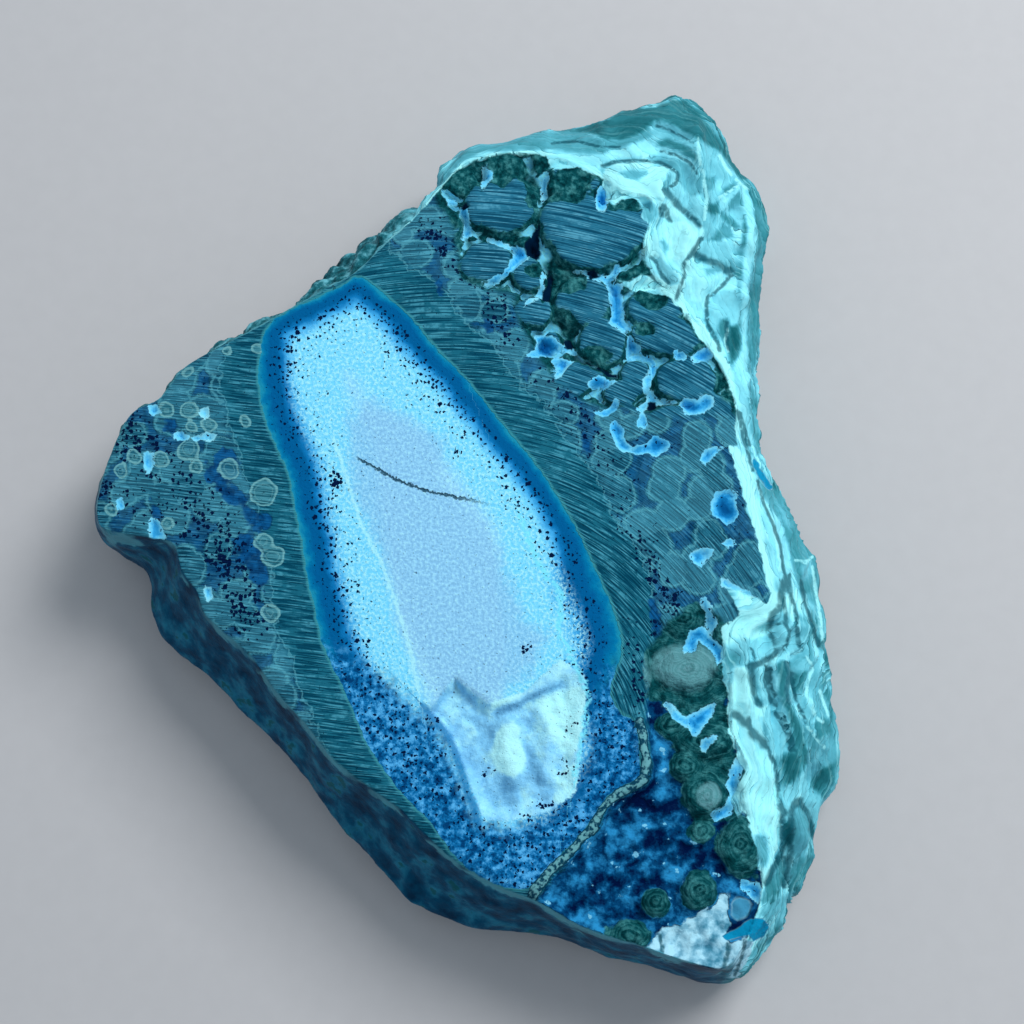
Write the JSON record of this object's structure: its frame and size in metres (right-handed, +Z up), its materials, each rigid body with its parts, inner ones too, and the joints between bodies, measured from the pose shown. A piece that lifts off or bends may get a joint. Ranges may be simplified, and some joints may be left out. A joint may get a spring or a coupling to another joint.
{
  "type": "malachite chrysocolla slab",
  "caption": "Hand-sized sawn slab of malachite and chrysocolla with a pale blue core, dark green knobs and ledged mint malachite on one side",
  "frame": {"origin": "centre of the slab's box, on the plane it lies on", "axes": "+X across the slab towards the banded mint malachite side, +Y along the slab towards its pointed end, +Z up out of the sawn upper face"},
  "size_m": [0.0851, 0.1057, 0.0179],
  "materials": {
    "malachite_chrysocolla": "matte"
  },
  "bodies": {
    "root": {"slab": "malachite_chrysocolla"}
  },
  "joints": []
}
